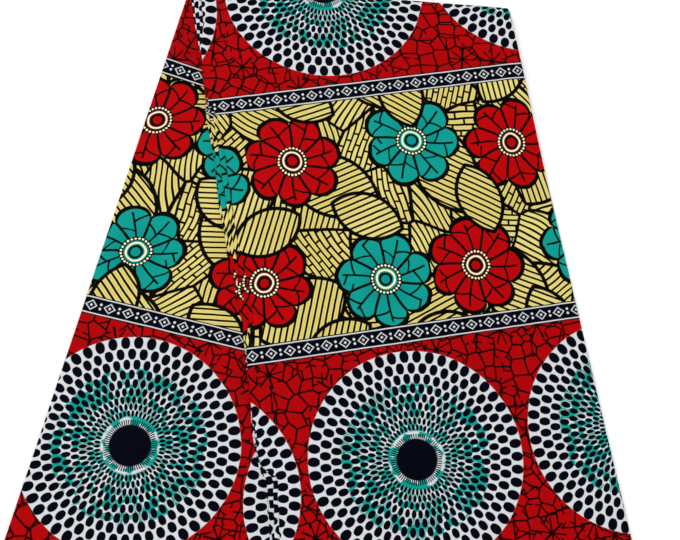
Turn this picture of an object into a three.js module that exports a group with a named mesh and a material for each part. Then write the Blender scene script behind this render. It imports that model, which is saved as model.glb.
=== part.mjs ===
// A length of African wax print cotton, folded into a long flat strip and laid over itself once, so that
// its two legs spread as an upside-down V on a flat surface. Millimetres, +Z up, the underside at z = 0.
// Each leg is a cloth layer that shows, wrapped round the strip's closed right edge, over hidden layers
// that share one solid with stepped edges. A third pair of solids is the turn at the top.

import * as THREE from 'three';

// The cut of cloth, and how often it is folded in each direction
const clothWidth = 1168;
const clothLength = 5486;
const pliesAcross = 4;
const passesAlong = 4;

// One layer is four plies pressed together, and a leg is four such layers
const layerThickness = 1.5;
const layersInLeg = 4;
const airGap = 0.3;

// A folded edge is rounded over this length and height, and the hidden layers stop this short of the cut end
const noseLength = 0.5;
const noseHeight = 0.4;
const layersShort = 2;

// Inner plies stand out past the nominal width of the folded strip
const standOut = 2.5;

// How far each edge of a leg leans from straight down, and how far the turn at the top slopes, in degrees
const lean = { frontLeft: 9.2, frontRight: 10.65, backLeft: -15.4, backRight: -15.6 };
const foldSlope = 3.4;

// The turn at the top isn't pressed flat: it bulges out past a half circle by this much
const turnBulge = 5.5;

// Beside the lower leg the upper one ramps down to the surface
const rampStart = 8;
const rampLength = 75;
const rampFadeIn = 50;

// The open left edge of the upper leg: how far down the edge, how far it wavers to the left, and how wide
// the stair of folded layers is that shows there. The stair opens and closes. Its rows are also where the
// sections of that leg stand.
const leftEdge = [
  { down: 0, waver: 1.3, stair: 9.5 },
  { down: 25, waver: 1.4, stair: 9 },
  { down: 62, waver: 1, stair: 2.4 },
  { down: 100, waver: 1.4, stair: 1.8 },
  { down: 112, waver: 2.2, stair: 4 },
  { down: 122, waver: 2.8, stair: 10.5 },
  { down: 162, waver: 1.4, stair: 11 },
  { down: 205, waver: 2.8, stair: 12 },
  { down: 235, waver: 1.5, stair: 11 },
  { down: 270, waver: -1.7, stair: 11 },
  { down: 290, waver: -0.8, stair: 12.3 },
  { down: 308, waver: -2.7, stair: 11.5 },
  { down: 330, waver: -2.1, stair: 2.2 },
  { down: 365, waver: -0.6, stair: 1.6 },
  { down: 397, waver: 0.8, stair: 1.6 },
  { down: 410, waver: 1.5, stair: 4 },
  { down: 422, waver: 1.2, stair: 1.8 },
  { down: 434, waver: 0.4, stair: 2 },
  { down: 448, waver: -3.3, stair: 11.5 },
  { down: 466, waver: -3.3, stair: 9 },
  { down: 498, waver: -0.7, stair: 8.7 },
  { down: 545, waver: 0.6, stair: 6 },
  { down: 600, waver: 1.4, stair: 9.5 },
  { down: 650, waver: 0.4, stair: 5 },
  { down: 711, waver: 0, stair: 8 },
];
const lowerLegStair = 6;

// How finely the solids are divided
const crossSteps = 9;
const rollSteps = 5;
const lowerLegSteps = 7;
const turnSteps = 8;

// Worked out from the sizes above
const legThickness = layerThickness * layersInLeg;
const sideRadius = legThickness / 2;
const turnRadius = legThickness + airGap / 2;
const radians = THREE.MathUtils.degToRad;
const skew = radians((lean.frontLeft + lean.frontRight) / 2 + foldSlope);
const foldWidth = (clothWidth / pliesAcross + standOut) / Math.cos(skew);
const turnArc = Math.PI * turnRadius;
const turnCreep = turnArc * Math.tan(skew);
const meanLegLength = (clothLength / passesAlong - turnArc) / 2;
const skewLength = foldWidth * Math.sin(skew) / 2;
const longSide = meanLegLength + skewLength;
const shortSide = meanLegLength - skewLength;

// Directions in plan
const alongFold = new THREE.Vector2(Math.cos(radians(foldSlope)), -Math.sin(radians(foldSlope)));
const outward = new THREE.Vector2(Math.sin(radians(foldSlope)), Math.cos(radians(foldSlope)));
const downward = (degrees) => new THREE.Vector2(Math.sin(radians(degrees)), -Math.cos(radians(degrees)));

// Each leg runs from the turn's axis; the strip creeps sideways as it goes round the turn
function makeLeg(side, leftLean, rightLean, leftLength, rightLength) {
  const start = outward.clone().multiplyScalar(-turnRadius).addScaledVector(alongFold, side * turnCreep / 2);
  return {
    left: start,
    right: start.clone().addScaledVector(alongFold, foldWidth),
    leftDirection: downward(leftLean),
    rightDirection: downward(rightLean),
    leftLength,
    rightLength,
  };
}
const upperLeg = makeLeg(1, lean.frontLeft, lean.frontRight, longSide, shortSide);
const lowerLeg = makeLeg(-1, lean.backLeft, lean.backRight, shortSide, longSide);

const ease = (x) => {
  const t = THREE.MathUtils.clamp(x, 0, 1);
  return t * t * (3 - 2 * t);
};

// A column of the edge table at a distance down the edge, with smooth steps between its rows
function edgeValue(column, down) {
  const next = Math.max(1, leftEdge.findIndex((row) => row.down >= down));
  const before = leftEdge[next - 1];
  const after = leftEdge[next];
  const share = ease((down - before.down) / (after.down - before.down));
  return THREE.MathUtils.lerp(before[column], after[column], share);
}

// The left and right ends, in plan, of the line across a leg at a share t of its length
function lineAcross(leg, t) {
  const left = leg.left.clone().addScaledVector(leg.leftDirection, leg.leftLength * t);
  const right = leg.right.clone().addScaledVector(leg.rightDirection, leg.rightLength * t);
  if (leg === upperLeg) {
    left.x -= edgeValue('waver', leg.leftLength * t);
  }
  return { left, right, width: left.distanceTo(right) };
}

// The upper leg's underside: it lies on the lower leg, then ramps down past that leg's right edge
function undersideHeight(place, t) {
  const past = place.clone().sub(lowerLeg.right);
  const distance = past.x * -lowerLeg.rightDirection.y + past.y * lowerLeg.rightDirection.x;
  const ramp = ease((distance - rampStart) / rampLength) * ease(t * upperLeg.leftLength / rampFadeIn);
  return (legThickness + airGap) * (1 - ramp);
}

// A point of a leg: across from its left edge, at a depth below the upper face of the strip
function onLeg(leg, t, across, depth) {
  const line = lineAcross(leg, t);
  const share = across / line.width;
  const place = line.left.clone().lerp(line.right, share);
  const height = leg === upperLeg ? undersideHeight(place, t) + legThickness - depth : depth;
  return new THREE.Vector3(place.x, place.y, height);
}

// A point of the turn, at a share t of its half circle from the upper leg to the lower one
function onTurn(t, across, depth) {
  const angle = Math.PI * t;
  const radius = turnRadius - depth;
  const place = alongFold.clone().multiplyScalar(across + (0.5 - t) * turnCreep);
  place.addScaledVector(outward, (radius + turnBulge) * Math.sin(angle) - turnRadius);
  return new THREE.Vector3(place.x, place.y, turnRadius + radius * Math.cos(angle));
}

// A flat stretch of a section, divided on the same lines in every piece of a leg, without its end point
function flat(from, to, depth, width) {
  const lines = [];
  for (let i = 1; i < crossSteps; i += 1) {
    lines.push({ across: width * i / crossSteps, depth });
  }
  return [{ across: from, depth }, ...(from < to ? lines : lines.reverse())];
}

// The half circle round the strip's closed right edge, from the upper face to the lower one
function sideRoll(width, radius) {
  const points = [];
  for (let i = 0; i <= rollSteps; i += 1) {
    const angle = Math.PI * i / rollSteps;
    points.push({
      across: width - sideRadius + radius * Math.sin(angle),
      depth: sideRadius - radius * Math.cos(angle),
    });
  }
  return points;
}

// The rounded edge of one folded layer, from its lower face to its upper one
function layerEdge(left, top, bottom) {
  return [
    { across: left + noseLength, depth: bottom },
    { across: left, depth: bottom - noseHeight },
    { across: left, depth: top + noseHeight },
    { across: left + noseLength, depth: top },
  ];
}

// Section of the cloth layer that shows: flat across, then round the closed right edge
function clothSection(width, left) {
  const inner = sideRoll(width, sideRadius - layerThickness).reverse();
  const flatEnd = width - sideRadius;
  return [
    ...layerEdge(left, 0, layerThickness).slice(0, 3),
    ...flat(left + noseLength, flatEnd, 0, width),
    ...sideRoll(width, sideRadius),
    ...inner,
    ...flat(flatEnd, left + noseLength, layerThickness, width).slice(1),
  ];
}

// Section of the hidden layers under it: one solid, stepped where its layers end on the left
function layersSection(width, edges) {
  const top = layerThickness + airGap;
  const flatEnd = width - sideRadius;
  const bottomEnd = flatEnd - airGap;
  const roll = sideRoll(width, sideRadius - layerThickness - airGap);
  const [upper, middle, lowest] = edges;
  return [
    ...flat(bottomEnd, lowest + noseLength, legThickness, width),
    ...layerEdge(lowest, legThickness - layerThickness, legThickness),
    ...layerEdge(middle, 2 * layerThickness, legThickness - layerThickness).slice(0, 3),
    ...layerEdge(upper, top, 2 * layerThickness),
    ...flat(upper + noseLength, flatEnd, top, width).slice(1),
    ...roll,
    { across: bottomEnd, depth: roll[rollSteps].depth },
  ];
}

// The lower leg is the strip turned over, so its depths count from the other face
const turnedOver = (section) => section.map(({ across, depth }) => ({ across, depth: legThickness - depth }));

// A closed solid through a row of sections: skin between them, and a cap at each end. Its squares are cut
// along the same diagonal above and below, so that layers stay parallel where they bend.
function loft(name, rings, section, material) {
  const size = section.length;
  const positions = rings.flat().flatMap((point) => [point.x, point.y, point.z]);
  const index = [];
  for (let ring = 0; ring < rings.length - 1; ring += 1) {
    for (let i = 0; i < size; i += 1) {
      const next = (i + 1) % size;
      const a = ring * size + i;
      const b = ring * size + next;
      if (section[next].across > section[i].across) {
        index.push(a, b, a + size, b, b + size, a + size);
      } else {
        index.push(a, b, b + size, a, b + size, a + size);
      }
    }
  }
  const outline = section.map(({ across, depth }) => new THREE.Vector2(across, depth));
  const outlineTurnsLeft = !THREE.ShapeUtils.isClockWise(outline);
  const last = (rings.length - 1) * size;
  for (const [a, b, c] of THREE.ShapeUtils.triangulateShape(outline, [])) {
    const [p, q, r] = turnsLeft(outline, a, b, c) === outlineTurnsLeft ? [a, b, c] : [a, c, b];
    index.push(p, r, q, last + p, last + q, last + r);
  }
  const geometry = new THREE.BufferGeometry();
  geometry.setAttribute('position', new THREE.Float32BufferAttribute(positions, 3));
  geometry.setIndex(facingOut(positions, index));
  geometry.computeVertexNormals();
  const mesh = new THREE.Mesh(geometry, material);
  mesh.name = name;
  return mesh;
}

// True where three points of an outline run round to the left
function turnsLeft(outline, a, b, c) {
  return THREE.ShapeUtils.area([outline[a], outline[b], outline[c]]) > 0;
}

// Turns every triangle round if the solid would otherwise be inside out
function facingOut(positions, index) {
  const corner = (i) => new THREE.Vector3().fromArray(positions, index[i] * 3);
  let volume = 0;
  for (let i = 0; i < index.length; i += 3) {
    volume += corner(i).dot(corner(i + 1).cross(corner(i + 2)));
  }
  return volume > 0 ? index : index.slice().reverse();
}

// Sections along a leg at the given shares of its length, the first just clear of the turn
function legRings(leg, shares, sectionAt) {
  const clear = airGap / leg.leftLength;
  return shares.map((share) => {
    const t = Math.max(clear, share);
    return sectionAt(t).map(({ across, depth }) => onLeg(leg, t, across, depth));
  });
}

// The hidden layers stop a little short of the cut end
function shorterRings(leg, shares, sectionAt) {
  const rings = legRings(leg, shares, sectionAt);
  const [lastBut, last] = rings.slice(-2);
  const [shareBefore, shareAtEnd] = shares.slice(-2);
  const back = layersShort / ((shareAtEnd - shareBefore) * leg.leftLength);
  last.forEach((point, i) => point.lerp(lastBut[i], back));
  return rings;
}

function turnRings(section) {
  const rings = [];
  for (let i = 0; i <= turnSteps; i += 1) {
    rings.push(section.map(({ across, depth }) => onTurn(i / turnSteps, across, depth)));
  }
  return rings;
}

const printedFace = new THREE.MeshStandardMaterial({ color: 0xc8141c, roughness: 0.75, metalness: 0 });
const hiddenLayers = new THREE.MeshStandardMaterial({ color: 0xd9b848, roughness: 0.8, metalness: 0 });

// Where the sections of each leg stand, as shares of its length
const upperShares = leftEdge.map(({ down }) => Math.min(down / longSide, 1));
const lowerShares = Array.from({ length: lowerLegSteps + 1 }, (_, i) => i / lowerLegSteps);

// The stair of hidden layers under the visible one: the lowest stands out furthest
const stairEdges = (stair) => [stair * 2 / 3, stair / 3, 0];

const upperStair = (t) => edgeValue('stair', upperLeg.leftLength * t);
const upperCloth = (t) => clothSection(lineAcross(upperLeg, t).width, upperStair(t));
const upperLayers = (t) => layersSection(lineAcross(upperLeg, t).width, stairEdges(upperStair(t)));
const lowerEdges = stairEdges(lowerLegStair).map((edge) => lowerLegStair - edge);
const lowerCloth = (t) => turnedOver(clothSection(lineAcross(lowerLeg, t).width, 0));
const lowerLayers = (t) => turnedOver(layersSection(lineAcross(lowerLeg, t).width, lowerEdges));
const turnCloth = clothSection(foldWidth, upperStair(0));
const turnLayers = layersSection(foldWidth, stairEdges(upperStair(0)));

const upperClothRings = legRings(upperLeg, upperShares, upperCloth);
const upperLayerRings = shorterRings(upperLeg, upperShares, upperLayers);
const lowerClothRings = legRings(lowerLeg, lowerShares, lowerCloth);
const lowerLayerRings = shorterRings(lowerLeg, lowerShares, lowerLayers);

const cloth = new THREE.Group();
cloth.name = 'folded_wax_print_cloth';
cloth.add(
  loft('upper_leg_cloth', upperClothRings, upperCloth(0), printedFace),
  loft('upper_leg_layers', upperLayerRings, upperLayers(0), hiddenLayers),
  loft('top_fold_cloth', turnRings(turnCloth), turnCloth, printedFace),
  loft('top_fold_layers', turnRings(turnLayers), turnLayers, hiddenLayers),
  loft('lower_leg_cloth', lowerClothRings, lowerCloth(0), printedFace),
  loft('lower_leg_layers', lowerLayerRings, lowerLayers(0), hiddenLayers),
);

// The origin lies on the surface, under the middle of the whole cloth
const bounds = new THREE.Box3().setFromObject(cloth);
const middle = bounds.getCenter(new THREE.Vector3());
cloth.position.set(-middle.x, -middle.y, -bounds.min.z);

export default cloth;
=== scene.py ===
import math
import bpy
from mathutils import Matrix, Vector


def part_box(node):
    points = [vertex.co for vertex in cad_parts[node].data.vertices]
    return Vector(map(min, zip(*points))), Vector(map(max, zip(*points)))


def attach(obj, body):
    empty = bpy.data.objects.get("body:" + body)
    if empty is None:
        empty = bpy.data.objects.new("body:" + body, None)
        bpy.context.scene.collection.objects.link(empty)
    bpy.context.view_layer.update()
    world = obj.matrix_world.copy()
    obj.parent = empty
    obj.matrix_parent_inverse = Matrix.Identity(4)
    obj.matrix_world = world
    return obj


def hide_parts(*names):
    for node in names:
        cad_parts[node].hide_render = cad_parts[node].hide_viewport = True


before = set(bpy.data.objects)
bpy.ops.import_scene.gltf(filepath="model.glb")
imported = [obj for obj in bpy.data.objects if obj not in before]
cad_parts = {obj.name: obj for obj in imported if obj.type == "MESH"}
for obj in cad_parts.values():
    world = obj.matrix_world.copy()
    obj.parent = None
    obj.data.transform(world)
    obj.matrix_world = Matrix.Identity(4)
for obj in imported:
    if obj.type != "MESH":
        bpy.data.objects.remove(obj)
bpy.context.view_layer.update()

# Upper leg
# The layer that shows of a long cotton strip, folded in half twice across and twice along and laid over
# itself. It comes round the turn, lies flat and wraps round the closed right edge; it is pressed, not sewn.
# Places on the strip are a share of the leg's length, a distance across and a depth, in millimetres.
CLOTH_WIDTH = 1168.0
CLOTH_LENGTH = 5486.0
LAYER = 1.5
AIR = 0.1
LEG_THICKNESS = 4 * LAYER
SIDE_RADIUS = LEG_THICKNESS / 2
TURN_RADIUS = LEG_THICKNESS + 0.15
TURN_BULGE = 5.5
STAND_OUT = 2.5
FOLD_SLOPE = math.radians(3.4)
LEANS = {"upper": (9.2, 10.65), "lower": (-15.4, -15.6)}
SKEW = math.radians(sum(LEANS["upper"]) / 2) + FOLD_SLOPE
STRIP_WIDTH = CLOTH_WIDTH / 4 + STAND_OUT
FOLD_WIDTH = STRIP_WIDTH / math.cos(SKEW)
TURN_ARC = math.pi * TURN_RADIUS
TURN_CREEP = TURN_ARC * math.tan(SKEW)
MEAN_LEG = (CLOTH_LENGTH / 4 - TURN_ARC) / 2
SKEW_LENGTH = FOLD_WIDTH * math.sin(SKEW) / 2
RAMP_START = 8.0
RAMP_LENGTH = 75.0
RAMP_FADE_IN = 50.0
ALONG_FOLD = Vector((math.cos(FOLD_SLOPE), -math.sin(FOLD_SLOPE)))
OUTWARD = Vector((math.sin(FOLD_SLOPE), math.cos(FOLD_SLOPE)))

# The open left edge: how far down it, its waver to the left, and the width of the stair of layers there
LEFT_EDGE = [
    (0, 1.3, 9.5), (25, 1.4, 9), (62, 1, 2.4), (100, 1.4, 1.8), (112, 2.2, 4), (122, 2.8, 10.5),
    (162, 1.4, 11), (205, 2.8, 12), (235, 1.5, 11), (270, -1.7, 11), (290, -0.8, 12.3), (308, -2.7, 11.5),
    (330, -2.1, 2.2), (365, -0.6, 1.6), (397, 0.8, 1.6), (410, 1.5, 4), (422, 1.2, 1.8), (434, 0.4, 2),
    (448, -3.3, 11.5), (466, -3.3, 9), (498, -0.7, 8.7), (545, 0.6, 6), (600, 1.4, 9.5), (650, 0.4, 5),
    (711, 0, 8),
]

# Soft ridges left by the pressing: the leg, how far across and down, the lean, and length, width and height
RIDGES = [
    ("upper", 34, 118, 4, 64, 7, 0.5), ("upper", 251, 96, -8, 92, 9, 0.45),
    ("upper", 120, 262, 12, 120, 11, 0.4), ("upper", 205, 356, -5, 75, 8, 0.6),
    ("upper", 58, 412, 7, 88, 9, 0.5), ("upper", 168, 520, -14, 140, 12, 0.6),
    ("upper", 262, 585, 3, 70, 8, 0.5), ("lower", 26, 150, -6, 80, 8, 0.5),
    ("lower", 64, 290, 9, 115, 10, 0.45), ("lower", 38, 430, -4, 70, 8, 0.6),
    ("lower", 120, 505, 12, 96, 11, 0.5), ("lower", 205, 600, -9, 84, 9, 0.6),
]


def downward(degrees):
    return Vector((math.sin(math.radians(degrees)), -math.cos(math.radians(degrees))))


def make_leg(name, side):
    start = OUTWARD * -TURN_RADIUS + ALONG_FOLD * (side * TURN_CREEP / 2)
    left_lean, right_lean = LEANS[name]
    return {
        "left": start,
        "right": start + ALONG_FOLD * FOLD_WIDTH,
        "left_run": downward(left_lean) * (MEAN_LEG + side * SKEW_LENGTH),
        "right_run": downward(right_lean) * (MEAN_LEG - side * SKEW_LENGTH),
        "reach": MEAN_LEG + side * SKEW_LENGTH,
    }


legs = {"upper": make_leg("upper", 1), "lower": make_leg("lower", -1)}


def ease(x):
    x = min(max(x, 0.0), 1.0)
    return x * x * (3 - 2 * x)


def edge_value(column, down):
    row = next(i for i in range(1, len(LEFT_EDGE)) if LEFT_EDGE[i][0] >= min(down, LEFT_EDGE[-1][0]))
    before, after = LEFT_EDGE[row - 1:row + 1]
    share = ease((down - before[0]) / (after[0] - before[0]))
    return before[column] + (after[column] - before[column]) * share


def down_from_turn(stretch, t):
    return 0.0 if stretch == "turn" else legs[stretch]["reach"] * t


def line_across(stretch, t):
    """The left and right ends, in plan, of the line across a leg, and its width. The turn has one line."""
    this = legs["lower" if stretch == "lower" else "upper"]
    if stretch == "turn":
        return this["left"], this["right"], FOLD_WIDTH
    left = this["left"] + this["left_run"] * t
    right = this["right"] + this["right_run"] * t
    if stretch == "upper":
        left.x -= edge_value(1, this["reach"] * t)
    return left, right, (right - left).length


def underside(place, t):
    """The height of the upper leg's underside, which ramps down beside the lower leg."""
    past = place - legs["lower"]["right"]
    run = legs["lower"]["right_run"].normalized()
    distance = past.x * -run.y + past.y * run.x
    ramp = ease((distance - RAMP_START) / RAMP_LENGTH) * ease(t * legs["upper"]["reach"] / RAMP_FADE_IN)
    return (2 * TURN_RADIUS - LEG_THICKNESS) * (1 - ramp)


def place_on(stretch, t, across_mm, depth):
    """A point of the strip in plan and height, in millimetres from the turn's left end."""
    if stretch == "turn":
        angle = math.pi * t
        radius = TURN_RADIUS - depth
        plan = ALONG_FOLD * (across_mm + (0.5 - t) * TURN_CREEP)
        plan += OUTWARD * ((radius + TURN_BULGE) * math.sin(angle) - TURN_RADIUS)
        return Vector((plan.x, plan.y, TURN_RADIUS + radius * math.cos(angle)))
    left, right, width = line_across(stretch, t)
    plan = left.lerp(right, across_mm / width)
    if stretch == "upper":
        return Vector((plan.x, plan.y, underside(plan, t) + LEG_THICKNESS - depth))
    return Vector((plan.x, plan.y, depth))


# How far in the left edge curls, and where the soft swell of the cloth has died away
EDGE_CURL = 16.0
SWELL_HEIGHT = 0.12
FLAT_BY_ROLL = 25.0
FLAT_BY_TURN = 20.0


def rise(stretch, t, across_mm, left, width, edge_lift):
    """How far a layer stands up: its left edge curls, and the layer that shows has its soft ridges."""
    down = down_from_turn(stretch, t)
    curl = edge_lift * ease(1 - (across_mm - left) / EDGE_CURL) * (0.65 + 0.35 * math.sin(down / 19 + 0.6))
    if stretch == "turn":
        return curl * (1 - t)
    ridges = 0.0
    if edge_lift:
        for leg_name, ridge_across, ridge_down, lean, length_mm, width_mm, height in RIDGES:
            if leg_name == stretch:
                tilt = math.radians(lean)
                x = across_mm - ridge_across
                y = down - ridge_down
                beside = abs(x * math.cos(tilt) + y * math.sin(tilt)) / width_mm
                along_it = abs(y * math.cos(tilt) - x * math.sin(tilt)) / (length_mm / 2)
                ridges += height * ease(1 - beside) * ease(1 - along_it)
    waves = math.sin(across_mm / 31 + down / 77) * math.sin(down / 46 - across_mm / 95)
    swell = SWELL_HEIGHT * (1 + waves) if edge_lift else 0.0
    flat_end = ease((width - across_mm) / FLAT_BY_ROLL) * ease(down / FLAT_BY_TURN)
    return curl + (ridges + swell) * flat_end


# Where the print lies on each leg. Upper: a disc's middle, and the slants of the print's rows and columns;
# past the upper band the cloth is pulled a little out of line towards the turn.
DISC_ACROSS = 113.4
DISC_ALONG = 336.0
UPPER_DISC = Vector((207.0, -431.7))
UPPER_ROW_SLANT = 8.35
UPPER_COLUMN_SLANT = 10.3
PULL_START = -12.0
PULL_RUN = 60.0
PULL_ACROSS = 3.0
PULL_ALONG = -3.2

# Lower: the strip turned over shows the print the other way up. Its rows fan out above the lower band.
LOWER_DISC = Vector((-37.8, -419.5))
LOWER_STRETCH_ACROSS = 1.012
LOWER_STRETCH_BELOW_BAND = 1.0102
LOWER_STRETCH_ABOVE_BAND = 1.0247
LOWER_BAND_UP = 108.2
LOWER_FAN_RUN = 229.0
LOWER_ROW_RISE = -0.0354
LOWER_ROW_RISE_FANNED = 0.0527
LOWER_SLIP_TO_BAND = -3.6
LOWER_SLIP_IN_FAN = 31.6

# The path length round the bulging turn, kept at even steps of its angle
TURN_ROWS = 24
TURN_STEPS = 2 * TURN_ROWS
turn_path = [0.0]
for i in range(TURN_STEPS):
    angle = math.pi * (i + 0.5) / TURN_STEPS
    stride = math.hypot((TURN_RADIUS + TURN_BULGE) * math.cos(angle), TURN_RADIUS * math.sin(angle))
    turn_path.append(turn_path[-1] + stride * math.pi / TURN_STEPS)


def share_of(distance, run):
    return min(max(distance / run, 0.0), 1.0)


def print_on(stretch, t, arc, shift):
    """The place on the print, in metres, of an unrolled point of the strip."""
    left, right, width = line_across(stretch, t)
    plan = left.lerp(right, arc / width)
    if stretch == "turn":
        travel = turn_path[round(t * TURN_STEPS)] / math.cos(SKEW)
        plan -= downward(math.degrees(SKEW - FOLD_SLOPE)) * travel
    if stretch == "lower":
        offset = plan - LOWER_DISC
        run = downward(LEANS["lower"][0])
        beside = offset.x * -run.y + offset.y * run.x
        up = -(offset.x * run.x + offset.y * run.y)
        past_band = up - LOWER_BAND_UP
        fan = share_of(past_band, LOWER_FAN_RUN)
        row_rise = LOWER_ROW_RISE + (LOWER_ROW_RISE_FANNED - LOWER_ROW_RISE) * fan
        slip = LOWER_SLIP_TO_BAND * share_of(up, LOWER_BAND_UP) + LOWER_SLIP_IN_FAN * fan
        pulled = LOWER_STRETCH_ABOVE_BAND if past_band > 0 else LOWER_STRETCH_BELOW_BAND
        u = DISC_ACROSS - beside / LOWER_STRETCH_ACROSS + slip
        v = past_band * pulled + beside * row_rise
    else:
        offset = plan - UPPER_DISC
        slant = math.radians(UPPER_ROW_SLANT)
        row = Vector((math.cos(slant), math.sin(slant)))
        column = downward(UPPER_COLUMN_SLANT)
        skewness = row.x * column.y - column.x * row.y
        u = DISC_ACROSS + (offset.x * column.y - column.x * offset.y) / skewness
        v = DISC_ALONG + (row.x * offset.y - row.y * offset.x) / skewness
        pull = share_of(PULL_START - v, PULL_RUN)
        u += PULL_ACROSS * pull
        v += PULL_ALONG * pull
    return (u + shift[0]) / 1000, (v + shift[1]) / 1000


# The frame's lower leg and top fold say where the turn's left end lies in the frame
leg_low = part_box("lower_leg_cloth")[0]
turn_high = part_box("top_fold_cloth")[1]
lowest_left = place_on("lower", 1.0, 0.0, LEG_THICKNESS).x
turn_top = place_on("turn", 0.5, 0.0, 0.0).y
SHIFT = Vector((leg_low.x - lowest_left / 1000, turn_high.y - turn_top / 1000, 0))

# The rounding of a layer's open edge, and the steps round the closed one
NOSE_DEGREES = (14, 36, 62)
ROLL_STEPS = 12


def layer_row(left, right, top, bottom, steps):
    """Pairs of points, upper and lower, of a flat layer from its rounded left edge to the right."""
    half = (bottom - top) / 2
    middle = top + half
    row = []
    for degrees in NOSE_DEGREES:
        turn = math.radians(degrees)
        spot = left + half * (1 - math.cos(turn))
        lift = half * math.sin(turn)
        row.append(((spot, middle - lift), (spot, middle + lift), left + half * (1 - math.pi / 2 + turn)))
    for i in range(steps + 1):
        spot = left + half + (right - left - half) * i / steps
        row.append(((spot, top), (spot, bottom), spot))
    return row


def rolled_row(left, width, steps):
    """The same for the layer that shows, which goes on round the closed right edge."""
    inner = SIDE_RADIUS - LAYER + AIR
    row = layer_row(left, width - SIDE_RADIUS, 0.0, LAYER - AIR, steps)
    for i in range(1, ROLL_STEPS + 1):
        angle = math.pi * i / ROLL_STEPS
        pair = [(width - SIDE_RADIUS + r * math.sin(angle), SIDE_RADIUS - r * math.cos(angle))
                for r in (SIDE_RADIUS, inner)]
        row.append((pair[0], pair[1], width - SIDE_RADIUS + SIDE_RADIUS * angle))
    return row


def sheet_mesh(name, stations, row_at, shift=(0.0, 0.0), edge_lift=0.0, turned=False):
    """A closed thin sheet through rows of pairs, with the print's place kept as its UV map."""
    verts = []
    uvs = []
    for stretch, t, squeeze in stations:
        row = row_at(stretch, t)
        left = row[0][0][0]
        width = line_across(stretch, t)[2]
        for outer, inner, arc in row:
            middle = Vector(outer).lerp(Vector(inner), 0.5)
            for point in (outer, inner):
                spot, depth = middle.lerp(Vector(point), squeeze)
                up = rise(stretch, t, spot, left, width, edge_lift)
                depth = LEG_THICKNESS - depth + up if turned else depth - up
                verts.append(place_on(stretch, t, spot, depth) / 1000 + SHIFT)
                uvs.append(print_on(stretch, t, arc, shift))
    size = len(verts) // len(stations)
    faces = []
    for s in range(len(stations) - 1):
        a = s * size
        b = a + size
        for i in range(0, size - 2, 2):
            faces.append((a + i, b + i, b + i + 2, a + i + 2))
            faces.append((a + i + 1, a + i + 3, b + i + 3, b + i + 1))
        faces.append((a, a + 1, b + 1, b))
        faces.append((a + size - 2, b + size - 2, b + size - 1, a + size - 1))
    last = (len(stations) - 1) * size
    for i in range(0, size - 2, 2):
        faces.append((i, i + 2, i + 3, i + 1))
        faces.append((last + i, last + i + 1, last + i + 3, last + i + 2))
    mesh = bpy.data.meshes.new(name)
    mesh.from_pydata(verts, [], faces)
    layer = mesh.uv_layers.new(name="cloth")
    for loop in mesh.loops:
        layer.data[loop.index].uv = uvs[loop.vertex_index]
    mesh.update()
    piece = bpy.data.objects.new(name, mesh)
    bpy.context.scene.collection.objects.link(piece)
    bpy.ops.object.select_all(action="DESELECT")
    bpy.context.view_layer.objects.active = piece
    piece.select_set(True)
    bpy.ops.object.mode_set(mode="EDIT")
    bpy.ops.mesh.select_all(action="SELECT")
    bpy.ops.mesh.normals_make_consistent(inside=False)
    bpy.ops.object.mode_set(mode="OBJECT")
    bpy.ops.object.shade_smooth_by_angle(angle=math.radians(50))
    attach(piece, "root")
    return piece


# A layer's end fold: how far back from the end it starts, then how far back and how thick it still is
END_START = 0.6
END_FOLD = [(0.25, 0.8), (0.06, 0.5), (0.0, 0.2)]


def leg_stations(name, steps, cut_back=0.0):
    """Stations down a leg. The last few close the layer round its own end fold."""
    reach = legs[name]["reach"]
    end = 1 - cut_back / reach
    rows = [(name, (end - END_START / reach) * i / steps, 1.0) for i in range(steps + 1)]
    for back, squeeze in END_FOLD:
        rows.append((name, end - back / reach, squeeze))
    return rows


def whole_path(steps, cut_back=0.0):
    """Stations from the upper leg's end, up it and round the turn."""
    turn = [("turn", i / TURN_ROWS, 1.0) for i in range(1, TURN_ROWS + 1)]
    return leg_stations("upper", steps, cut_back)[::-1] + turn


# Each folded layer's own edge, as a share of the stair from the lowest edge in, with the waver of that share
STAIR_LAYERS = [(1.0, 0.0), (0.58, 0.08), (0.2, 0.07), (0.0, 0.0)]
UPPER_ROWS = 180


def stair_nose(number, stretch, t):
    down = down_from_turn(stretch, t)
    share, waver = STAIR_LAYERS[number]
    return edge_value(2, down) * (share + waver * math.sin(down / (13 + 4 * number) + number))


upper_cloth = sheet_mesh(
    "upper_cloth", whole_path(UPPER_ROWS),
    lambda stretch, t: rolled_row(stair_nose(0, stretch, t), line_across(stretch, t)[2], 60),
    edge_lift=0.9,
)

# Its print, wax-resist on plain-weave cotton
# Rows of big discs of navy dots on a red crackled ground, bands of white diamonds on navy, and between
# them round blossoms over black-striped yellow leaves. It is drawn by formula in the cloth's millimetres.
REPEAT_ACROSS = 194.6
REPEAT_ALONG = 445.3
BAND_B_ALONG = 228.5
BAND_B_SLIP = 5.7
BAND_HALF = 8.4
DIAMOND_PITCH = REPEAT_ACROSS / 12
DISC_RADIUS = 93.0
DOTS_IN_RING = 50
NAVY = (0.0003, 0.0006, 0.0042, 1)
BLACK = (0.0010, 0.0006, 0.0006, 1)
CRACKLE_LINE = (0.0045, 0.0002, 0.0004, 1)
WHITE = (0.605, 0.625, 0.640, 1)
TEAL = (0.0030, 0.292, 0.248, 1)
TEAL_DARK = (0.0020, 0.250, 0.220, 1)
RED = (0.400, 0.0005, 0.0016, 1)
RED_DARK = (0.300, 0.0004, 0.0011, 1)
PETAL_RED = (0.425, 0.0005, 0.0014, 1)
YELLOW = (0.705, 0.610, 0.200, 1)
YELLOW_DARK = (0.575, 0.430, 0.055, 1)
CREAM = (0.880, 0.830, 0.520, 1)
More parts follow.
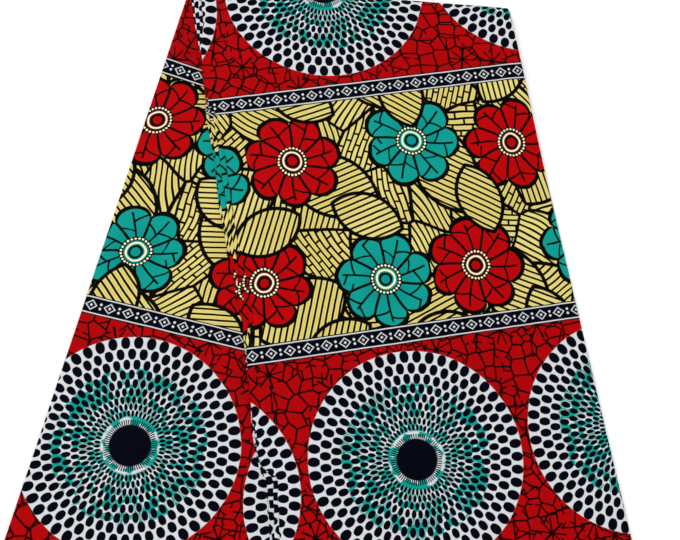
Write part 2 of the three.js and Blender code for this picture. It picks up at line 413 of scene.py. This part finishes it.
MAROON = (0.085, 0.0030, 0.0070, 1)

cotton = bpy.data.materials.new("printed_cotton")
cotton.use_nodes = True
nodes = cotton.node_tree.nodes
links = cotton.node_tree.links


class Field:
    """A number that changes over the cloth. Arithmetic on it adds Math nodes to the cotton's material."""

    def __init__(self, socket):
        self.socket = socket

    def math(self, operation, *others, clamp=False):
        return math_node(operation, self, *others, clamp=clamp)

    def __add__(self, other):
        return self.math("ADD", other)

    __radd__ = __add__

    def __sub__(self, other):
        return self.math("SUBTRACT", other)

    def __rsub__(self, other):
        return math_node("SUBTRACT", other, self)

    def __mul__(self, other):
        return self.math("MULTIPLY", other)

    __rmul__ = __mul__

    def __truediv__(self, other):
        return self.math("DIVIDE", other)

    def __abs__(self):
        return self.math("ABSOLUTE")


def feed(socket, value):
    """Links a field to a node's input, or sets the input to a number."""
    if isinstance(value, Field):
        links.new(value.socket, socket)
    else:
        socket.default_value = value


def math_node(operation, *values, clamp=False):
    node = nodes.new("ShaderNodeMath")
    node.operation = operation
    node.use_clamp = clamp
    for socket, value in zip(node.inputs, values):
        feed(socket, value)
    return Field(node.outputs[0])


def wrap(value, half_period, centre=0.0):
    """The signed distance to the nearest of the places that repeat every two half periods."""
    return (value - centre).math("WRAP", half_period, -half_period)


def length(x, y):
    return (x * x + y * y).math("SQRT")


def larger(first, second, *others):
    field = first.math("MAXIMUM", second)
    return larger(field, *others) if others else field


def inside(distance, edge, soft=0.3):
    """1 where the distance is under the edge and 0 past it, with a thin soft rim like ink on cotton."""
    return ((edge - distance) * (1 / soft) + 0.5).math("ADD", 0.0, clamp=True)


def tint(below, above, share):
    """One ink laid over another: each is a colour or the output of an earlier tint."""
    node = nodes.new("ShaderNodeMix")
    node.data_type = "RGBA"
    feed(node.inputs["Factor"], share)
    for socket, colour in ((node.inputs[6], below), (node.inputs[7], above)):
        if isinstance(colour, tuple):
            socket.default_value = colour
        else:
            links.new(colour, socket)
    return node.outputs[2]


def vector(x, y, z=0.0):
    node = nodes.new("ShaderNodeCombineXYZ")
    for socket, value in zip(node.inputs, (x, y, z)):
        feed(socket, value)
    return node.outputs[0]


def parts_of(socket):
    node = nodes.new("ShaderNodeSeparateXYZ")
    links.new(socket, node.inputs[0])
    return [Field(output) for output in node.outputs]


def noise(place, size, detail=2.0):
    """Cloudy values round 0.5 with clouds of about this size in millimetres, and three such as a colour."""
    node = nodes.new("ShaderNodeTexNoise")
    node.inputs["Scale"].default_value = 1 / size
    node.inputs["Detail"].default_value = detail
    links.new(place, node.inputs["Vector"])
    return Field(node.outputs["Fac"]), node.outputs["Color"]


def cells(place, size, feature="F1", unevenness=0.85):
    node = nodes.new("ShaderNodeTexVoronoi")
    node.inputs["Randomness"].default_value = unevenness
    node.voronoi_dimensions = "2D"
    node.feature = feature
    node.inputs["Scale"].default_value = 1 / size
    links.new(place, node.inputs["Vector"])
    return node


def cell_edge(place, size, unevenness=0.85):
    """The distance in millimetres to the nearest edge of a net of cells."""
    return Field(cells(place, size, "DISTANCE_TO_EDGE", unevenness).outputs["Distance"]) * size


# The place on the cloth in millimetres, plain and with a hand-cut wobble
WOBBLE_SIZE = 18
WOBBLE_REACH = 1.0
cloth_map = nodes.new("ShaderNodeUVMap")
cloth_map.uv_map = "cloth"
metres = parts_of(cloth_map.outputs["UV"])
plain_across = metres[0] * 1000.0
plain_along = metres[1] * 1000.0
plain_place = vector(plain_across, plain_along)
wobble = parts_of(noise(plain_place, WOBBLE_SIZE)[1])
across = plain_across + (wobble[0] - 0.5) * WOBBLE_REACH
along = plain_along + (wobble[1] - 0.5) * WOBBLE_REACH

# Red ground, crackled into dark-edged cells, with spurs that end inside a cell and stars of cracks
CRACK_CELL = 13.4
CRACK_UNEVENNESS = 0.72
SPUR_CELL = 15.0
SPUR_REACH = 4.6
SPUR_SHARE = 0.55
SPUR_SHIFT_ACROSS = 40.0
SPUR_SHIFT_ALONG = 9.0
STAR_SPACING = 47.0
STAR_REACH = 9.0
STAR_RAYS = 8
RAY_BEND = 0.12
RAY_SHORTEST = 7.0
RAY_SPREAD = 12.0
CRACK_HALF = 0.80
SPUR_HALF = CRACK_HALF * 0.9
RED_CLOUD = 80
RED_SHADE = 0.6
crack_place = vector(across, along)
crack_wall = cell_edge(crack_place, CRACK_CELL, CRACK_UNEVENNESS)
star_cells = cells(crack_place, STAR_SPACING)
star_centre = parts_of(star_cells.outputs["Position"])
star_turn = parts_of(star_cells.outputs["Color"])[0] * math.tau
star_x = across - star_centre[0]
star_y = along - star_centre[1]
star_distance = length(star_x, star_y)
star_angle = star_y.math("ARCTAN2", star_x)
ray_angle = star_angle + star_turn + (star_angle * 2.0 + star_turn).math("SINE") * RAY_BEND
ray_off = abs(wrap(ray_angle, math.pi / STAR_RAYS)) * star_distance
ray_number = (ray_angle * (STAR_RAYS / math.tau)).math("ROUND")
ray_end = noise(vector(ray_number, star_turn), 0.6)[0] * RAY_SPREAD + RAY_SHORTEST
outside_star = star_distance.math("GREATER_THAN", STAR_REACH)
spur_cell = parts_of(cells(crack_place, CRACK_CELL, unevenness=CRACK_UNEVENNESS).outputs["Color"])[0]
spur_place = vector(across + SPUR_SHIFT_ACROSS, along + SPUR_SHIFT_ALONG)
spur = inside(cell_edge(spur_place, SPUR_CELL), SPUR_HALF)
spur = spur * inside(crack_wall, SPUR_REACH, 0.5) * spur_cell.math("LESS_THAN", SPUR_SHARE)
crack = larger(
    inside(crack_wall, CRACK_HALF) * outside_star,
    spur * outside_star,
    inside(ray_off, CRACK_HALF) * inside(star_distance, ray_end, 1.0),
)
red_cloud = noise(plain_place, RED_CLOUD, 3.0)[0]
red_ground = tint(RED, RED_DARK, inside(red_cloud, 0.5, 0.5) * RED_SHADE)
crackle = tint(red_ground, CRACKLE_LINE, crack)

# Discs: rings of navy dots that shrink towards a navy hub, over white with a teal web
# The reaches are shares of the disc's radius, and the dot's halves are shares of the ring and dot spacing.
OUTER_RING = 0.945
RING_CLIMB = 8.575
RING_EASE = 1.51
LAST_RING = 8
DOT_HALF_INWARD = 0.54
DOT_HALF_ROUND = 0.365
DOT_UNEVENNESS = 0.16
DOT_EDGE = 1.07
WEB_SCALE = 7.0
HUB_WEB_SCALE = 2.6
RIM_WAVER = 0.08
TEAL_WEB = 0.53
TEAL_OUTER_REACH = 0.705
TEAL_INNER_REACH = 0.26
TEAL_ROUND_DOT = 1.32
GLOW_REACH = 0.275
HUB_REACH = 0.19
TICK_REACH = 0.238
TICK_WAVER = 0.03
TICK_LONG = 0.05
TICKS = 68
disc_x = wrap(across, REPEAT_ACROSS / 2, DISC_ACROSS)
disc_y = wrap(along, REPEAT_ALONG / 2, DISC_ALONG)
disc_reach = length(disc_x, disc_y) * (1 / DISC_RADIUS)
disc_angle = disc_y.math("ARCTAN2", disc_x)
inward = math_node("DIVIDE", OUTER_RING, disc_reach).math("LOGARITHM", math.e)
ring_place = inward * (RING_CLIMB - inward * RING_EASE)
ring = ring_place.math("ROUND")
dot_place = disc_angle * (DOTS_IN_RING / math.tau) + ring * 0.5
dot_offset = dot_place - dot_place.math("ROUND")
dot_grain = noise(vector(dot_place.math("ROUND"), ring), 0.77)[0] * DOT_UNEVENNESS
dot = length((ring_place - ring) * (1 / DOT_HALF_INWARD), dot_offset * (1 / DOT_HALF_ROUND)) + dot_grain
dots = inside(dot, DOT_EDGE, 0.10) * inside(abs(ring_place - LAST_RING / 2), LAST_RING / 2 + 0.55, 0.05)
unit_x = disc_x / disc_reach * (1 / DISC_RADIUS)
unit_y = disc_y / disc_reach * (1 / DISC_RADIUS)
web = noise(vector(unit_x * WEB_SCALE, unit_y * WEB_SCALE, ring_place * 0.9), 1.0, 1.0)[0]
hub_web = noise(vector(unit_x * HUB_WEB_SCALE, unit_y * HUB_WEB_SCALE, disc_reach * 14.0), 1.0, 1.0)[0]
rim_place = disc_reach + (wobble[2] - 0.5) * RIM_WAVER
teal_share = inside(web, TEAL_WEB, 0.05) * inside(rim_place, TEAL_OUTER_REACH, 0.02)
teal_share = teal_share * inside(TEAL_INNER_REACH - disc_reach, 0.0, 0.02)
teal_share = teal_share * (1.0 - inside(dot, TEAL_ROUND_DOT, 0.2) * inside(hub_web, 0.44, 0.1) * 0.7)
glow_share = inside(hub_web, 0.49, 0.05) * inside(disc_reach, GLOW_REACH, 0.02)
hub = inside(disc_reach, HUB_REACH, 0.008)
tick_end = TICK_REACH + (wobble[0] - 0.5) * TICK_WAVER + inside(web, 0.33, 0.02) * TICK_LONG
tick_wave = (disc_angle * TICKS).math("COSINE")
ticks = inside(disc_reach, tick_end, 0.006) * inside(tick_wave, 0.1, 0.7)
disc_ground = tint(tint(WHITE, TEAL, teal_share), TEAL, glow_share)
disc = tint(disc_ground, NAVY, larger(dots, hub, ticks))
disc_zone = tint(crackle, disc, inside(disc_reach, 1.0, 0.006))

# Bands: white diamonds and pairs of dots between two white lines on navy
DIAMOND_HALF_ACROSS = 5.3
DIAMOND_HALF_ALONG = 4.7
DIAMOND_LINE = 0.25
CENTRE_DOT_HALF = 1.35
PAIR_SPREAD = 1.9
PAIR_DOT_RADIUS = 1.12
LINE_OFFSET = 6.9
LINE_HALF = 0.52
BLACK_RIM = 0.8
band_a = abs(wrap(along, REPEAT_ALONG / 2))
band_b = abs(wrap(along, REPEAT_ALONG / 2, BAND_B_ALONG))
nearer_b = band_b.math("LESS_THAN", band_a)
band_y = band_a.math("MINIMUM", band_b)
band_x = wrap(across - nearer_b * BAND_B_SLIP, DIAMOND_PITCH / 2)
diamond = abs(band_x) * (1 / DIAMOND_HALF_ACROSS) + band_y * (1 / DIAMOND_HALF_ALONG)
diamond_ring = inside(diamond, 1.0, 0.12) * inside(1.0 - diamond, DIAMOND_LINE, 0.12)
centre_dot = inside(abs(band_x) + band_y, CENTRE_DOT_HALF)
pair_dot = inside(length(abs(band_x) - DIAMOND_PITCH / 2, band_y - PAIR_SPREAD), PAIR_DOT_RADIUS)
thin_line = inside(abs(band_y - LINE_OFFSET), LINE_HALF)
band = tint(NAVY, WHITE, larger(diamond_ring, centre_dot, pair_dot, thin_line))

# Yellow ground of the blossom zone: patches, each striped its own way in black, some broken like bricks
PATCH_SIZE = 46.0
PATCH_BEND = 16.0
STRIPE_PITCH = 5.1
STRIPE_HALF = 0.96
BRICK_LENGTH = 18.0
BRICK_SHARE = 0.4
BEND_SIZE = 62
PATCH_LINE_HALF = 1.5
bend = parts_of(noise(plain_place, BEND_SIZE, 1.0)[1])
bent_across = across + (bend[0] - 0.5) * PATCH_BEND
bent_along = along + (bend[1] - 0.5) * PATCH_BEND
bent_place = vector(bent_across, bent_along)
patch = parts_of(cells(bent_place, PATCH_SIZE).outputs["Color"])


def stripes(x, y, aim, broken):
    """Black stripes with yellow bars between them, golden along their middles here and there."""
    aim_cosine = aim.math("COSINE")
    aim_sine = aim.math("SINE")
    beside = (x * aim_cosine + y * aim_sine) * (1 / STRIPE_PITCH)
    bar = beside.math("FLOOR")
    in_bar = abs(beside - bar - 0.5) * STRIPE_PITCH
    break_place = abs(wrap(y * aim_cosine - x * aim_sine + bar * 7.3, BRICK_LENGTH / 2))
    black = larger(inside(STRIPE_PITCH / 2 - STRIPE_HALF, in_bar), inside(break_place, STRIPE_HALF) * broken)
    golden = inside(in_bar, 0.5, 1.2) * inside(bend[2], 0.55, 0.25)
    return tint(tint(YELLOW, YELLOW_DARK, golden), BLACK, black)


yellow_ground = stripes(bent_across, bent_along, patch[0] * math.tau, inside(patch[1], BRICK_SHARE, 0.01))
yellow_ground = tint(yellow_ground, BLACK, inside(cell_edge(bent_place, PATCH_SIZE), PATCH_LINE_HALF))

# Leaves and blossoms stand on loose lattices, two to a disc's spacing and two rows to a zone
CELL_ACROSS = REPEAT_ACROSS / 2
CELL_ALONG = BAND_B_ALONG / 2
AIM_BY_COLUMN = 2.35
AIM_BY_ROW = 1.3
zone_along = along.math("WRAP", REPEAT_ALONG, 0.0)


def lattice(shift_across, shift_along, wander):
    """The offset from the nearest motif's middle, the way it aims, and its column."""
    row_place = (zone_along - shift_along) * (1 / CELL_ALONG)
    row = row_place.math("FLOOR")
    column_place = (across - shift_across) * (1 / CELL_ACROSS) + row * 0.5
    column = column_place.math("FLOOR")
    aim = column * AIM_BY_COLUMN + row * AIM_BY_ROW
    x = (column_place - column - 0.5) * CELL_ACROSS + aim.math("COSINE") * wander
    y = (row_place - row - 0.5) * CELL_ALONG + aim.math("SINE") * wander
    return x, y, aim, column


LEAF_WANDER = 4.0
LEAF_LINE_HALF = 1.7
LEAF_LEAN = 0.5
LEAF_LEAN_BY_AIM = 1.7
LEAF_STRIPE_ASLANT = 0.8


def leaves(below, shift_across, shift_along, half_length, half_width):
    """Pointed ovals, striped aslant, outlined in black."""
    x, y, aim, _ = lattice(shift_across, shift_along, LEAF_WANDER)
    lean = aim * LEAF_LEAN_BY_AIM + LEAF_LEAN
    ahead = x * lean.math("COSINE") + y * lean.math("SINE")
    aside = abs(y * lean.math("COSINE") - x * lean.math("SINE"))
    arc = (half_length ** 2 + half_width ** 2) / (2 * half_width)
    outline = length(ahead, aside + (arc - half_width)) - arc
    striped = stripes(x, y, lean + LEAF_STRIPE_ASLANT, 0.0)
    leaf = tint(striped, BLACK, inside(0.0 - outline, LEAF_LINE_HALF))
    return tint(below, leaf, inside(outline, LEAF_LINE_HALF))


BLOSSOM_RADIUS = 43.0
BLOSSOM_WANDER = 8.0
BLOSSOM_LINE_HALF = 2.0
VEIN_HALF = 0.95
VEIN_END = -0.12 * BLOSSOM_RADIUS
PETAL_HALF = math.pi / 7
PETAL_LEAST = 0.60
PETAL_SPREAD = 0.3
SCALLOP = 0.25
FOLD_HALF = 1.2
TILE_SLANT = 16.0
CORE_SHARE = 0.33
BEAD_RING = 0.86
BEAD_PITCH_HALF = 1.55
CREAM_RING = 0.56
DARK_RING = 0.72
EYE_RING = 0.35


def blossoms(below, shift_across, shift_along):
    """Round scalloped blossoms, red and teal by turns, with tiled veins and a ring of cream beads."""
    x, y, aim, column = lattice(shift_across, shift_along, BLOSSOM_WANDER)
    reach = length(x, y) + (wobble[2] - 0.5) * 4.0
    angle = y.math("ARCTAN2", x) + aim + reach * 0.004
    petal_angle = wrap(angle, PETAL_HALF)
    petal = abs(petal_angle)
    petal_number = ((angle - petal_angle) * 0.5).math("SINE")
    petal_size = noise(vector(petal_number, aim), 0.35)[0]
    scallop = (petal * (math.pi / 2 / PETAL_HALF)).math("COSINE").math("POWER", 0.6)
    rim = (scallop * SCALLOP + PETAL_LEAST + petal_size * PETAL_SPREAD) * BLOSSOM_RADIUS
    outline = reach - rim
    fold_line = inside((PETAL_HALF - petal) * reach, FOLD_HALF)
    middle_vein = inside(petal * reach, VEIN_HALF) * inside(outline, VEIN_END)
    tile_start = noise(vector(petal_number, aim, petal_angle.math("SIGN")), 0.35)[0] * 0.9 + 0.2
    tile = inside(abs(reach - petal * TILE_SLANT - tile_start * BLOSSOM_RADIUS), VEIN_HALF)
    ink = larger(middle_vein, tile, fold_line, inside(0.0 - outline, BLOSSOM_LINE_HALF))
    teal_turn = abs(wrap(column, 1.0))
    shade = inside(reach, BLOSSOM_RADIUS * 0.5, 14.0)
    fill = tint(tint(PETAL_RED, RED, shade), tint(TEAL, TEAL_DARK, shade), teal_turn)
    core = BLOSSOM_RADIUS * CORE_SHARE
    core_fill = tint(tint(MAROON, RED, inside(reach, core * EYE_RING)), TEAL_DARK, teal_turn)
    dark_rings = larger(inside(core * DARK_RING, reach), inside(abs(reach - core * EYE_RING), 1.0))
    core_fill = tint(core_fill, BLACK, dark_rings)
    bead = wrap(angle * (core * BEAD_RING), BEAD_PITCH_HALF)
    beads = inside(length(bead, reach - core * BEAD_RING), 1.0)
    cream = larger(beads, inside(abs(reach - core * CREAM_RING), 0.8))
    blossom = tint(tint(fill, BLACK, ink), tint(core_fill, CREAM, cream), inside(reach, core))
    return tint(below, blossom, inside(outline, BLOSSOM_LINE_HALF))


# Large leaves lie under the blossoms and small ones over them
blossom_zone = leaves(yellow_ground, 40.0, 30.0, half_length=44.0, half_width=28.0)
blossom_zone = blossoms(blossom_zone, 12.0, 3.0)
blossom_zone = leaves(blossom_zone, 66.0, 62.0, half_length=33.0, half_width=20.0)

# All zones put together, with the fine grain of the threads: how many to a millimetre, and how dark
THREADS = 2.2
THREAD_RUN = 0.3
THREAD_SHADE = 0.13
in_blossom_zone = inside(abs(wrap(along, REPEAT_ALONG / 2, BAND_B_ALONG / 2)), BAND_B_ALONG / 2)
printed = tint(disc_zone, blossom_zone, in_blossom_zone)
printed = tint(printed, BLACK, inside(band_y, BAND_HALF))
printed = tint(printed, band, inside(band_y, BAND_HALF - BLACK_RIM))
weft = noise(vector(plain_across * THREAD_RUN, plain_along * THREADS), 1.0)[0]
warp = noise(vector(plain_across * THREADS, plain_along * THREAD_RUN), 1.0)[0]
thread = weft + warp
woven = tint(printed, BLACK, inside(thread, 0.95, 0.5) * THREAD_SHADE)

# A matt cotton finish with a trace of wax sheen, and the threads as the finest relief
GLOSS_SIZE = 11
GLOSS_SPREAD = 0.2
SMOOTHEST = 0.5
surface = nodes["Principled BSDF"]
links.new(woven, surface.inputs["Base Color"])
surface.inputs["Specular IOR Level"].default_value = 0.025
surface.inputs["Sheen Weight"].default_value = 0.005
surface.inputs["Sheen Roughness"].default_value = 0.4
roughness = noise(plain_place, GLOSS_SIZE, 3.0)[0] * GLOSS_SPREAD + SMOOTHEST
links.new(roughness.socket, surface.inputs["Roughness"])
bump = nodes.new("ShaderNodeBump")
bump.inputs["Strength"].default_value = 0.3
bump.inputs["Distance"].default_value = 0.00012
links.new(thread.socket, bump.inputs["Height"])
links.new(bump.outputs["Normal"], surface.inputs["Normal"])


def declare(piece, length_mm):
    """Gives a layer its cotton. The length it is given is not used."""
    piece.data.materials.append(cotton)
    length_mm / 1000


LEG_AND_TURN = MEAN_LEG + turn_path[-1]
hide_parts("upper_leg_cloth", "top_fold_cloth")
declare(upper_cloth, LEG_AND_TURN)

# Stair of folded layers
# Three more folds of the same cotton inside the strip. Their edges stand out in uneven steps on the left of
# the upper leg and run on round the turn; they are only pressed together.
STAIR_NAMES = ["stair_layer_high", "stair_layer_middle", "stair_layer_low"]
STAIR_NODES = {"stair_layer_high": "upper_leg_layers", "stair_layer_middle": "top_fold_layers"}
STAIR_LIFTS = [0.6, 0.3, 0.0]
PRINT_SHIFTS = [(6.0, 2.6), (11.0, -3.2), (16.0, 4.4)]
INSIDE_ROLL = SIDE_RADIUS + 0.8
for number, name in enumerate(STAIR_NAMES, start=1):
    top = number * LAYER + AIR / 2
    bottom = (number + 1) * LAYER - AIR / 2
    layer = sheet_mesh(
        name, whole_path(UPPER_ROWS, 1.0 + number),
        lambda stretch, t: layer_row(
            stair_nose(number, stretch, t), line_across(stretch, t)[2] - INSIDE_ROLL, top, bottom, 40),
        shift=PRINT_SHIFTS[number - 1], edge_lift=STAIR_LIFTS[number - 1],
    )
    if name in STAIR_NODES:
        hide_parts(STAIR_NODES[name])
    declare(layer, LEG_AND_TURN)

# Lower leg
# The strip's other face, which turns up as the strip comes round the top: one pressed layer wrapped round
# the hidden right edge, over three more whose left edges draw back in steps. The last lies on the surface.
LOWER_STEP = 2.0
LOWER_NAMES = ["lower_layer_high", "lower_layer_middle", "lower_layer_base"]
lower_cloth = sheet_mesh(
    "lower_cloth", leg_stations("lower", 110),
    lambda stretch, t: rolled_row(0.0, line_across(stretch, t)[2], 50), edge_lift=0.4, turned=True,
)
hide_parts("lower_leg_cloth")
declare(lower_cloth, MEAN_LEG)
for number, name in enumerate(LOWER_NAMES, start=1):
    base = number == len(LOWER_NAMES)
    top = number * LAYER + AIR / 2
    bottom = (number + 1) * LAYER - (0.0 if base else AIR / 2)
    layer = sheet_mesh(
        name, leg_stations("lower", 60, 1.0 + number),
        lambda stretch, t: layer_row(
            LOWER_STEP * number, line_across(stretch, t)[2] - INSIDE_ROLL, top, bottom, 30),
        shift=PRINT_SHIFTS[number - 1], turned=True,
    )
    if base:
        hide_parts("lower_leg_layers")
    declare(layer, MEAN_LEG)

# Floor, light and camera
# A plain pale floor under soft studio light, and the camera nearly straight above, as the cloth was seen.
bpy.ops.mesh.primitive_plane_add(size=12, location=(0, 0, 0))
floor = bpy.context.object
floor.name = "floor"
floor_paint = bpy.data.materials.new("floor_paint")
floor_paint.use_nodes = True
floor_surface = floor_paint.node_tree.nodes["Principled BSDF"]
floor_surface.inputs["Base Color"].default_value = (0.95, 0.95, 0.95, 1)
floor_surface.inputs["Roughness"].default_value = 0.9
floor.data.materials.append(floor_paint)

world = bpy.data.worlds.new("studio")
bpy.context.scene.world = world
world.use_nodes = True
world.node_tree.nodes["Background"].inputs["Color"].default_value = (1, 1, 1, 1)
world.node_tree.nodes["Background"].inputs["Strength"].default_value = 1.0

bpy.ops.object.light_add(type="AREA", location=(-1.1, 0.9, 1.9))
key = bpy.context.object
key.data.size = 1.2
key.data.energy = 17
key.rotation_euler = (-Vector(key.location)).to_track_quat("-Z", "Y").to_euler()

# The camera was fitted to the print's lattice, for a frame of 680 pixels
FRAME_WIDTH = 680
FOCAL_PIXELS = 700
CAMERA_TURN = math.radians(-2.5)
CAMERA_TIP = math.radians(8.6)
CAMERA_DISTANCE = 0.616
AIM = Vector((0.141, -0.2675, 0.009))
back = Vector((math.tan(CAMERA_TURN), -math.tan(CAMERA_TIP), 1)) * CAMERA_DISTANCE
side = Vector((0, 1, 0)).cross(back).normalized()
up = back.normalized().cross(side)
camera_data = bpy.data.cameras.new("camera")
camera_data.sensor_width = 36
camera_data.lens = 36 * FOCAL_PIXELS / FRAME_WIDTH
camera = bpy.data.objects.new("camera", camera_data)
bpy.context.scene.collection.objects.link(camera)
camera.location = AIM + SHIFT + back
camera.rotation_euler = Matrix((side, up, back.normalized())).transposed().to_euler()
bpy.context.scene.camera = camera
bpy.context.scene.view_settings.view_transform = "Standard"
